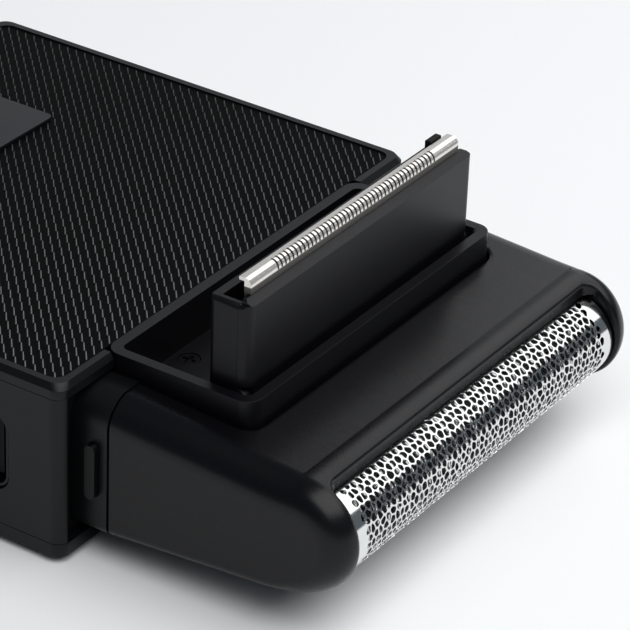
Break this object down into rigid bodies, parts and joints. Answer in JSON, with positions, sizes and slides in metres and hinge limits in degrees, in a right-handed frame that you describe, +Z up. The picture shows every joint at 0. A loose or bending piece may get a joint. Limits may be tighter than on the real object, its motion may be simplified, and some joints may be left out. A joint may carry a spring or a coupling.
{
  "type": "foil shaver",
  "caption": "Palm-size foil shaver lying on its back: wide single-foil head on a short neck, pop-up trimmer standing in its tray, ridged grip panel, side charging socket.",
  "frame": {"origin": "under the middle of the whole object, on the surface it lies on", "axes": "+Y from the foil head to the tail, +Z up out of the grip panel, +X across the head to the side without the charging socket"},
  "size_m": [0.065, 0.091, 0.0338],
  "materials": {
    "casing": "fine satin",
    "grip": "rows of fine ridges, satin",
    "control": "smooth satin",
    "button": "smooth satin",
    "light_lens": "clear gloss",
    "deep_black": "plain",
    "head": "fine satin",
    "trimmer": "smooth satin",
    "acetal": "natural white",
    "seal": "soft",
    "foil_steel": "bright, perforated",
    "blade_steel": "ground",
    "comb_steel": "ground and honed",
    "spring_steel": "drawn",
    "can_steel": "plated",
    "bronze": "sintered",
    "copper": "enamelled wire",
    "magnet": "sintered",
    "cell_sleeve": "film sleeve",
    "board": "solder mask",
    "lead": "insulation",
    "screw_steel": "black oxide"
  },
  "bodies": {
    "case": {"top_bezel": "casing", "grip_panel": "grip", "control_plate": "control", "status_light": "light_lens", "side_band": "casing", "rear_cover": "casing", "front_plate": "deep_black", "trimmer_tray": "trimmer", "neck_upper": "casing", "neck_lower": "casing", "neck_gasket": "seal", "release_springs": "spring_steel", "guide_rods": "spring_steel", "bridge_springs": "spring_steel", "motor_bushing": "bronze", "motor_can": "can_steel", "motor_magnets": "magnet", "motor_end_cap": "acetal", "motor_screws": "screw_steel", "chassis": "deep_black", "battery_cell": "cell_sleeve", "battery_tabs": "can_steel", "motor_leads": "lead", "main_board": "board", "board_parts": "deep_black", "tact_switch": "can_steel", "charging_board": "board", "socket_shell": "can_steel", "socket_tongue": "deep_black", "hinge_pins": "spring_steel", "detent_spring": "spring_steel", "rear_screws": "screw_steel", "tray_screws": "screw_steel"},
    "power_button": {"power_button": "button"},
    "release_left": {"release_button_left": "button"},
    "release_right": {"release_button_right": "button"},
    "rotor": {"crank_cam": "acetal", "motor_shaft": "spring_steel", "motor_armature": "copper"},
    "drive": {"drive_bridge": "acetal", "cutter_post": "spring_steel", "trimmer_arm": "spring_steel", "cutter_spring": "spring_steel"},
    "cutter": {"cutter_holder": "acetal", "cutter_blades": "blade_steel"},
    "foil_head": {"foil_frame": "head", "foil": "foil_steel", "foil_clips": "deep_black"},
    "trimmer": {"trimmer_housing": "trimmer", "trimmer_cover": "trimmer", "trimmer_comb": "comb_steel", "trimmer_leaf": "spring_steel"},
    "trimmer_cutter": {"trimmer_cutter": "blade_steel", "trimmer_slider": "deep_black"}
  },
  "joints": [
    {"name": "power_press", "type": "slide", "parent": "case", "child": "power_button", "axis": [0, 0, -1], "range_m": [0, 0.0004], "stiffness_N_per_m": 400},
    {"name": "release_left_press", "type": "slide", "parent": "case", "child": "release_left", "axis": [1, 0, 0], "range_m": [0, 0.0007], "stiffness_N_per_m": 500},
    {"name": "release_right_press", "type": "slide", "parent": "case", "child": "release_right", "axis": [-1, 0, 0], "range_m": [0, 0.0007], "stiffness_N_per_m": 500},
    {"name": "motor_spin", "type": "hinge", "parent": "case", "child": "rotor", "pos_m": [0, -0.00795, 0.01115], "axis": [0, 1, 0], "continuous": true},
    {"name": "drive_swing", "type": "slide", "parent": "case", "child": "drive", "axis": [1, 0, 0], "range_m": [-0.0008, 0.0008], "stiffness_N_per_m": 500},
    {"name": "cutter_float", "type": "slide", "parent": "drive", "child": "cutter", "axis": [0, 1, 0], "range_m": [0, 0.0006], "stiffness_N_per_m": 300},
    {"name": "foil_head_pull", "type": "slide", "parent": "case", "child": "foil_head", "axis": [0, -1, 0], "range_m": [0, 0.03]},
    {"name": "trimmer_fold", "type": "hinge", "parent": "case", "child": "trimmer", "pos_m": [0, -0.02665, 0.0202], "axis": [-1, 0, 0], "range_deg": [0, 90]},
    {"name": "trimmer_cut", "type": "slide", "parent": "trimmer", "child": "trimmer_cutter", "axis": [1, 0, 0], "range_m": [-0.0008, 0.0008]}
  ],
  "couplings": [
    {"joint": "trimmer_cut", "follows": "drive_swing", "ratio": 1}
  ]
}
